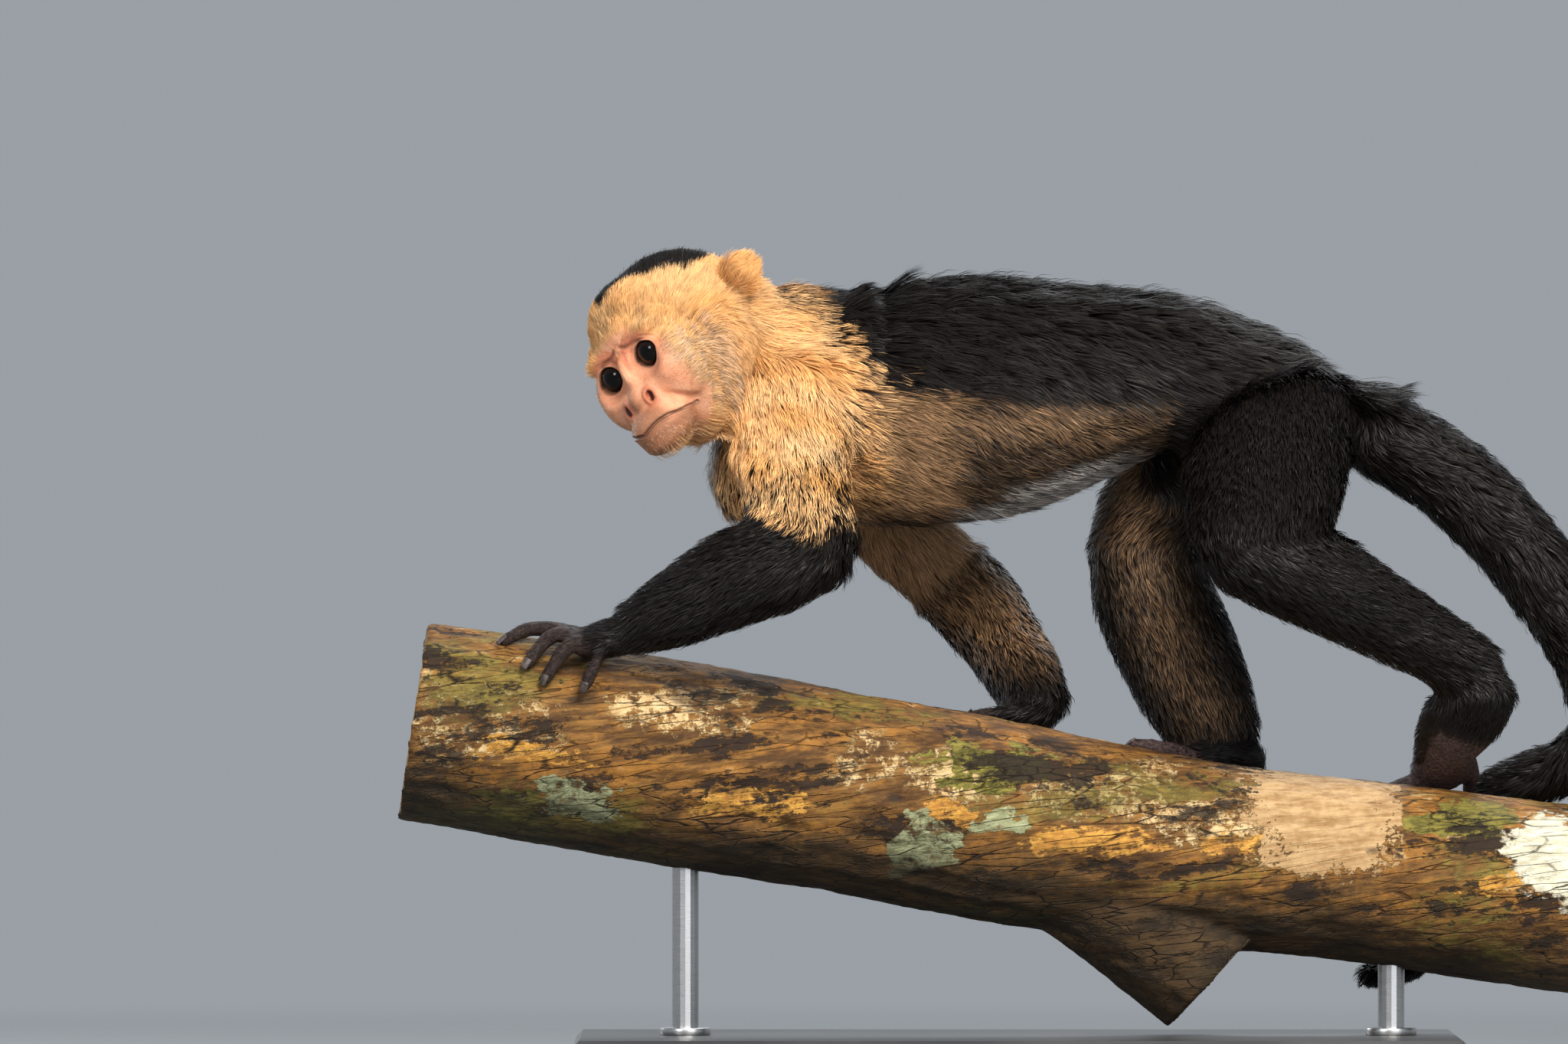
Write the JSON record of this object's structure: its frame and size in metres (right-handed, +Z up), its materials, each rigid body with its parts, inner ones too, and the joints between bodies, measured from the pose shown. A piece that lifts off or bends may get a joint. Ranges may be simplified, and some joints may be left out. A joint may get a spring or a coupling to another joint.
{
  "type": "capuchin monkey",
  "caption": "Life-size still model of a white-faced capuchin monkey walking on a cut length of branch, head turned and tail hooked over the branch, on a plain display stand.",
  "frame": {"origin": "middle of the underside of the stand's base", "axes": "+Z up, the monkey walks towards -X along the branch, its left side faces -Y and its head is turned towards -Y"},
  "size_m": [0.5608, 0.21, 0.3784],
  "materials": {
    "coat_cream": "dense soft cream to golden fur",
    "coat_black": "coarse glossy black-brown fur in locks",
    "skin_dark": "bare wrinkled dark grey-brown skin",
    "eye_brown": "glossy very dark brown",
    "bark": "rough flaking bark with lichen and moss",
    "stand_paint": "satin charcoal paint",
    "stand_steel": "brushed"
  },
  "bodies": {
    "root": {"head": "coat_cream", "neck": "coat_cream", "ear_left": "coat_cream", "ear_right": "coat_cream", "upper_arm_left": "coat_cream", "upper_arm_right": "coat_cream", "trunk_chest": "coat_black", "trunk_belly": "coat_black", "trunk_hips": "coat_black", "tail_1": "coat_black", "tail_2": "coat_black", "tail_3": "coat_black", "tail_4": "coat_black", "tail_5": "coat_black", "forearm_left": "coat_black", "forearm_right": "coat_black", "thigh_left": "coat_black", "thigh_right": "coat_black", "shin_left": "coat_black", "shin_right": "coat_black", "hand_left": "skin_dark", "hand_right": "skin_dark", "foot_left": "skin_dark", "foot_right": "skin_dark", "eye_left": "eye_brown", "eye_right": "eye_brown", "perch_branch": "bark", "perch_fork": "bark", "stand_base": "stand_paint", "stand_rod_front": "stand_steel", "stand_rod_back": "stand_steel"}
  },
  "joints": []
}
